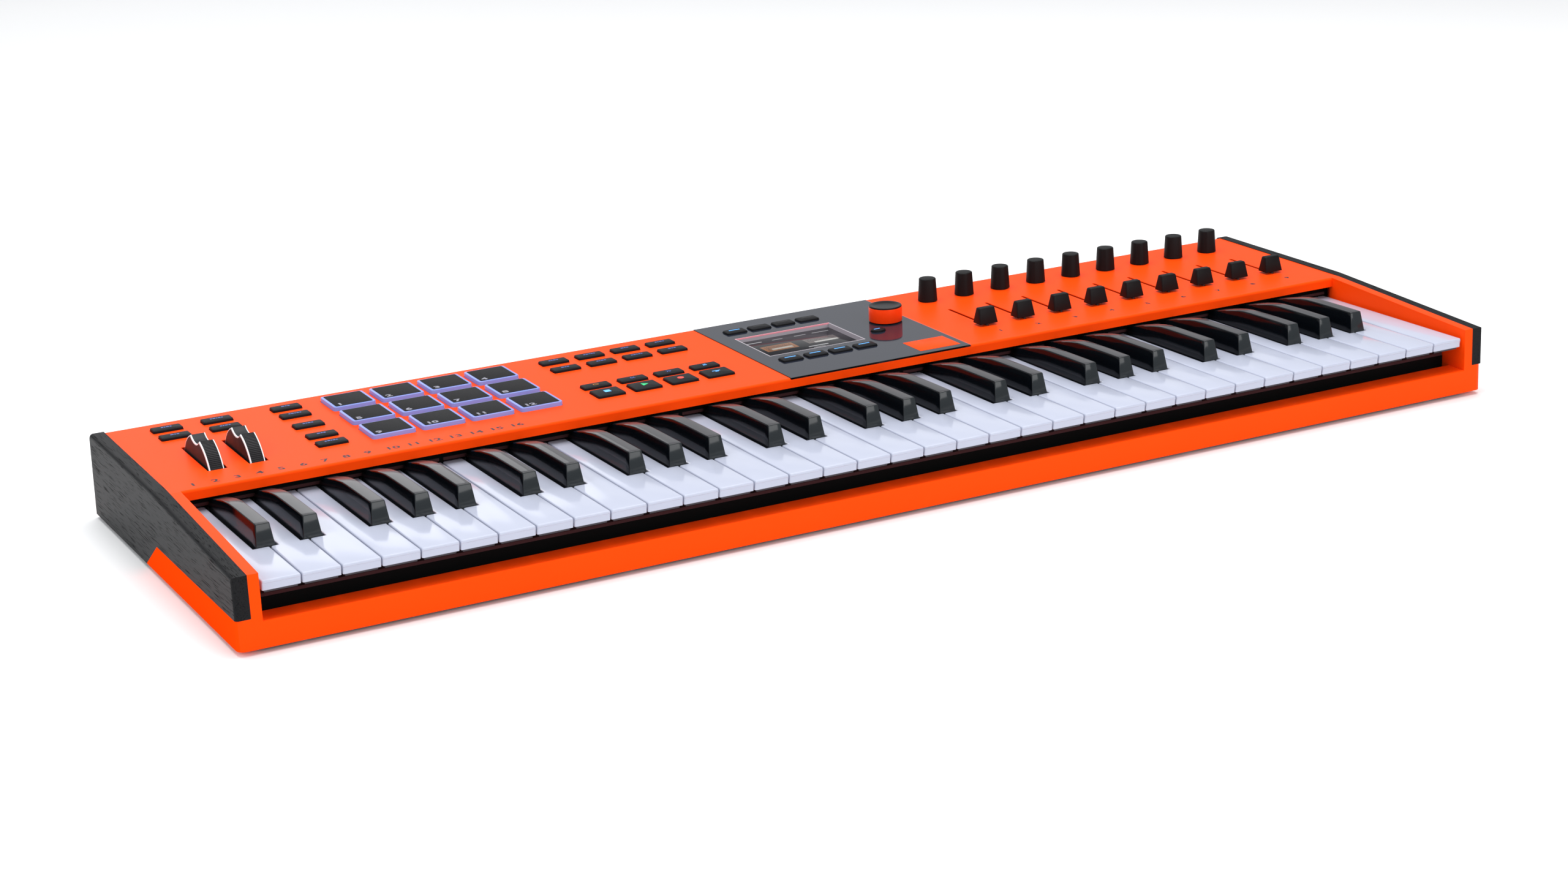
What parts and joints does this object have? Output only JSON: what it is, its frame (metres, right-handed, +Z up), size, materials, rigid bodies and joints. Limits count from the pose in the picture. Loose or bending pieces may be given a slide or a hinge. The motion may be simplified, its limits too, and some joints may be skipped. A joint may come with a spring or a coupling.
{
  "type": "synthesizer keyboard",
  "caption": "Desk keyboard controller with hinged keys, drum pads, knobs, faders, two wheels, a push-turn dial and a small screen between wood cheeks.",
  "frame": {"origin": "centre of the footprint, on the surface that the rubber feet stand on", "axes": "+X to the player's right along the keys, +Y away from the player, +Z up"},
  "size_m": [0.88, 0.296, 0.0735],
  "materials": {
    "orange_shell": "satin bright orange paint",
    "black_steel": "matt black powder coat",
    "black_wood": "black stained, open pores",
    "rubber": "matt",
    "bright_steel": "plain",
    "slate_gloss": "glossy slate grey",
    "screen_glass": "dark glass, lit from behind",
    "felt": "dense felt",
    "circuit_board": "solder mask",
    "wheel_rubber": "ribbed, smooth notch",
    "button_rubber": "soft touch",
    "pad_rubber": "soft top with a translucent rim",
    "sensor_plastic": "moulded",
    "orange_knob": "satin orange ring, black top",
    "socket_plastic": "moulded",
    "knob_black": "soft touch",
    "white_key": "gloss",
    "black_key": "gloss sides, satin top"
  },
  "bodies": {
    "case": {"upper_case": "orange_shell", "base_plate": "black_steel", "left_cheek": "black_wood", "right_cheek": "black_wood", "rubber_feet": "rubber", "case_screws": "bright_steel", "centre_panel": "slate_gloss", "display_module": "screen_glass", "keybed_frame": "black_steel", "key_pivot_rod": "bright_steel", "key_stop_felts": "felt", "key_contact_board": "circuit_board", "wheel_bracket": "black_steel", "pad_sensor_sheet": "rubber", "control_boards": "circuit_board", "rotary_sensors": "sensor_plastic", "fader_tracks": "sensor_plastic", "main_board": "circuit_board", "rear_sockets": "socket_plastic"},
    "key_c": {"key_c": "white_key"},
    "key_c_sharp": {"key_c_sharp": "black_key"},
    "key_d": {"key_d": "white_key"},
    "key_d_sharp": {"key_d_sharp": "black_key"},
    "key_e": {"key_e": "white_key"},
    "key_f": {"key_f": "white_key"},
    "key_f_sharp": {"key_f_sharp": "black_key"},
    "key_g": {"key_g": "white_key"},
    "key_g_sharp": {"key_g_sharp": "black_key"},
    "key_a": {"key_a": "white_key"},
    "key_a_sharp": {"key_a_sharp": "black_key"},
    "key_b": {"key_b": "white_key"},
    "pitch_wheel": {"pitch_wheel": "wheel_rubber"},
    "mod_wheel": {"mod_wheel": "wheel_rubber"},
    "knob_1": {"knob_1": "knob_black"},
    "knob_2": {"knob_2": "knob_black"},
    "knob_3": {"knob_3": "knob_black"},
    "knob_4": {"knob_4": "knob_black"},
    "knob_5": {"knob_5": "knob_black"},
    "knob_6": {"knob_6": "knob_black"},
    "knob_7": {"knob_7": "knob_black"},
    "knob_8": {"knob_8": "knob_black"},
    "knob_9": {"knob_9": "knob_black"},
    "fader_1": {"fader_1": "knob_black"},
    "fader_2": {"fader_2": "knob_black"},
    "fader_3": {"fader_3": "knob_black"},
    "fader_4": {"fader_4": "knob_black"},
    "fader_5": {"fader_5": "knob_black"},
    "fader_6": {"fader_6": "knob_black"},
    "fader_7": {"fader_7": "knob_black"},
    "fader_8": {"fader_8": "knob_black"},
    "fader_9": {"fader_9": "knob_black"},
    "pads_row_1": {"pads_row_1": "pad_rubber"},
    "pads_row_2": {"pads_row_2": "pad_rubber"},
    "pads_row_3": {"pads_row_3": "pad_rubber"},
    "buttons_left": {"buttons_left": "button_rubber"},
    "buttons_command": {"buttons_command": "button_rubber"},
    "buttons_transport": {"buttons_transport": "button_rubber"},
    "buttons_screen": {"buttons_screen": "button_rubber"},
    "encoder_stem": {"encoder_stem": "bright_steel"},
    "encoder_knob": {"encoder_knob": "orange_knob"}
  },
  "joints": [
    {"name": "press_key_c", "type": "hinge", "parent": "case", "child": "key_c", "pos_m": [0, 0.0115, 0.0365], "axis": [1, 0, 0], "range_deg": [0, 3.4], "stiffness_Nm_per_rad": 1.2, "springref_deg": -20.05},
    {"name": "press_key_c_sharp", "type": "hinge", "parent": "case", "child": "key_c_sharp", "pos_m": [0, 0.0115, 0.0365], "axis": [1, 0, 0], "range_deg": [0, 3.4], "stiffness_Nm_per_rad": 1.2, "springref_deg": -20.05},
    {"name": "press_key_d", "type": "hinge", "parent": "case", "child": "key_d", "pos_m": [0, 0.0115, 0.0365], "axis": [1, 0, 0], "range_deg": [0, 3.4], "stiffness_Nm_per_rad": 1.2, "springref_deg": -20.05},
    {"name": "press_key_d_sharp", "type": "hinge", "parent": "case", "child": "key_d_sharp", "pos_m": [0, 0.0115, 0.0365], "axis": [1, 0, 0], "range_deg": [0, 3.4], "stiffness_Nm_per_rad": 1.2, "springref_deg": -20.05},
    {"name": "press_key_e", "type": "hinge", "parent": "case", "child": "key_e", "pos_m": [0, 0.0115, 0.0365], "axis": [1, 0, 0], "range_deg": [0, 3.4], "stiffness_Nm_per_rad": 1.2, "springref_deg": -20.05},
    {"name": "press_key_f", "type": "hinge", "parent": "case", "child": "key_f", "pos_m": [0, 0.0115, 0.0365], "axis": [1, 0, 0], "range_deg": [0, 3.4], "stiffness_Nm_per_rad": 1.2, "springref_deg": -20.05},
    {"name": "press_key_f_sharp", "type": "hinge", "parent": "case", "child": "key_f_sharp", "pos_m": [0, 0.0115, 0.0365], "axis": [1, 0, 0], "range_deg": [0, 3.4], "stiffness_Nm_per_rad": 1.2, "springref_deg": -20.05},
    {"name": "press_key_g", "type": "hinge", "parent": "case", "child": "key_g", "pos_m": [0, 0.0115, 0.0365], "axis": [1, 0, 0], "range_deg": [0, 3.4], "stiffness_Nm_per_rad": 1.2, "springref_deg": -20.05},
    {"name": "press_key_g_sharp", "type": "hinge", "parent": "case", "child": "key_g_sharp", "pos_m": [0, 0.0115, 0.0365], "axis": [1, 0, 0], "range_deg": [0, 3.4], "stiffness_Nm_per_rad": 1.2, "springref_deg": -20.05},
    {"name": "press_key_a", "type": "hinge", "parent": "case", "child": "key_a", "pos_m": [0, 0.0115, 0.0365], "axis": [1, 0, 0], "range_deg": [0, 3.4], "stiffness_Nm_per_rad": 1.2, "springref_deg": -20.05},
    {"name": "press_key_a_sharp", "type": "hinge", "parent": "case", "child": "key_a_sharp", "pos_m": [0, 0.0115, 0.0365], "axis": [1, 0, 0], "range_deg": [0, 3.4], "stiffness_Nm_per_rad": 1.2, "springref_deg": -20.05},
    {"name": "press_key_b", "type": "hinge", "parent": "case", "child": "key_b", "pos_m": [0, 0.0115, 0.0365], "axis": [1, 0, 0], "range_deg": [0, 3.4], "stiffness_Nm_per_rad": 1.2, "springref_deg": -20.05},
    {"name": "turn_pitch_wheel", "type": "hinge", "parent": "case", "child": "pitch_wheel", "pos_m": [0, 0.0517, 0.04152], "axis": [1, 0, 0], "range_deg": [-38, 38], "stiffness_Nm_per_rad": 0.05},
    {"name": "turn_mod_wheel", "type": "hinge", "parent": "case", "child": "mod_wheel", "pos_m": [0, 0.0517, 0.04152], "axis": [1, 0, 0], "range_deg": [-38, 38]},
    {"name": "turn_knob_1", "type": "hinge", "parent": "case", "child": "knob_1", "pos_m": [0.156, 0.11129, 0.05672], "axis": [0, -0.0117, 0.9999], "continuous": true},
    {"name": "turn_knob_2", "type": "hinge", "parent": "case", "child": "knob_2", "pos_m": [0.18635, 0.11129, 0.05672], "axis": [0, -0.0117, 0.9999], "continuous": true},
    {"name": "turn_knob_3", "type": "hinge", "parent": "case", "child": "knob_3", "pos_m": [0.2167, 0.11129, 0.05672], "axis": [0, -0.0117, 0.9999], "continuous": true},
    {"name": "turn_knob_4", "type": "hinge", "parent": "case", "child": "knob_4", "pos_m": [0.24705, 0.11129, 0.05672], "axis": [0, -0.0117, 0.9999], "continuous": true},
    {"name": "turn_knob_5", "type": "hinge", "parent": "case", "child": "knob_5", "pos_m": [0.2774, 0.11129, 0.05672], "axis": [0, -0.0117, 0.9999], "continuous": true},
    {"name": "turn_knob_6", "type": "hinge", "parent": "case", "child": "knob_6", "pos_m": [0.30775, 0.11129, 0.05672], "axis": [0, -0.0117, 0.9999], "continuous": true},
    {"name": "turn_knob_7", "type": "hinge", "parent": "case", "child": "knob_7", "pos_m": [0.3381, 0.11129, 0.05672], "axis": [0, -0.0117, 0.9999], "continuous": true},
    {"name": "turn_knob_8", "type": "hinge", "parent": "case", "child": "knob_8", "pos_m": [0.36845, 0.11129, 0.05672], "axis": [0, -0.0117, 0.9999], "continuous": true},
    {"name": "turn_knob_9", "type": "hinge", "parent": "case", "child": "knob_9", "pos_m": [0.3988, 0.11129, 0.05672], "axis": [0, -0.0117, 0.9999], "continuous": true},
    {"name": "slide_fader_1", "type": "slide", "parent": "case", "child": "fader_1", "axis": [0, 0.9999, 0.0117], "range_m": [0, 0.045]},
    {"name": "slide_fader_2", "type": "slide", "parent": "case", "child": "fader_2", "axis": [0, 0.9999, 0.0117], "range_m": [0, 0.045]},
    {"name": "slide_fader_3", "type": "slide", "parent": "case", "child": "fader_3", "axis": [0, 0.9999, 0.0117], "range_m": [0, 0.045]},
    {"name": "slide_fader_4", "type": "slide", "parent": "case", "child": "fader_4", "axis": [0, 0.9999, 0.0117], "range_m": [0, 0.045]},
    {"name": "slide_fader_5", "type": "slide", "parent": "case", "child": "fader_5", "axis": [0, 0.9999, 0.0117], "range_m": [0, 0.045]},
    {"name": "slide_fader_6", "type": "slide", "parent": "case", "child": "fader_6", "axis": [0, 0.9999, 0.0117], "range_m": [0, 0.045]},
    {"name": "slide_fader_7", "type": "slide", "parent": "case", "child": "fader_7", "axis": [0, 0.9999, 0.0117], "range_m": [0, 0.045]},
    {"name": "slide_fader_8", "type": "slide", "parent": "case", "child": "fader_8", "axis": [0, 0.9999, 0.0117], "range_m": [0, 0.045]},
    {"name": "slide_fader_9", "type": "slide", "parent": "case", "child": "fader_9", "axis": [0, 0.9999, 0.0117], "range_m": [0, 0.045]},
    {"name": "press_pads_row_1", "type": "slide", "parent": "case", "child": "pads_row_1", "axis": [0, 0.0117, -0.9999], "range_m": [0, 0.0005], "stiffness_N_per_m": 2500, "springref_m": -0.001},
    {"name": "press_pads_row_2", "type": "slide", "parent": "case", "child": "pads_row_2", "axis": [0, 0.0117, -0.9999], "range_m": [0, 0.0005], "stiffness_N_per_m": 2500, "springref_m": -0.001},
    {"name": "press_pads_row_3", "type": "slide", "parent": "case", "child": "pads_row_3", "axis": [0, 0.0117, -0.9999], "range_m": [0, 0.0005], "stiffness_N_per_m": 2500, "springref_m": -0.001},
    {"name": "press_buttons_left", "type": "slide", "parent": "case", "child": "buttons_left", "axis": [0, 0.0117, -0.9999], "range_m": [0, 0.0008], "stiffness_N_per_m": 1500, "springref_m": -0.001},
    {"name": "press_buttons_command", "type": "slide", "parent": "case", "child": "buttons_command", "axis": [0, 0.0117, -0.9999], "range_m": [0, 0.0008], "stiffness_N_per_m": 1500, "springref_m": -0.001},
    {"name": "press_buttons_transport", "type": "slide", "parent": "case", "child": "buttons_transport", "axis": [0, 0.0117, -0.9999], "range_m": [0, 0.0008], "stiffness_N_per_m": 1500, "springref_m": -0.001},
    {"name": "press_buttons_screen", "type": "slide", "parent": "case", "child": "buttons_screen", "axis": [0, 0.0117, -0.9999], "range_m": [0, 0.0008], "stiffness_N_per_m": 1500, "springref_m": -0.001},
    {"name": "press_encoder", "type": "slide", "parent": "case", "child": "encoder_stem", "axis": [0, 0.0117, -0.9999], "range_m": [0, 0.0005], "stiffness_N_per_m": 600, "springref_m": -0.002},
    {"name": "turn_encoder", "type": "hinge", "parent": "encoder_stem", "child": "encoder_knob", "pos_m": [0.1035, 0.08029, 0.05635], "axis": [0, -0.0117, 0.9999], "continuous": true}
  ]
}
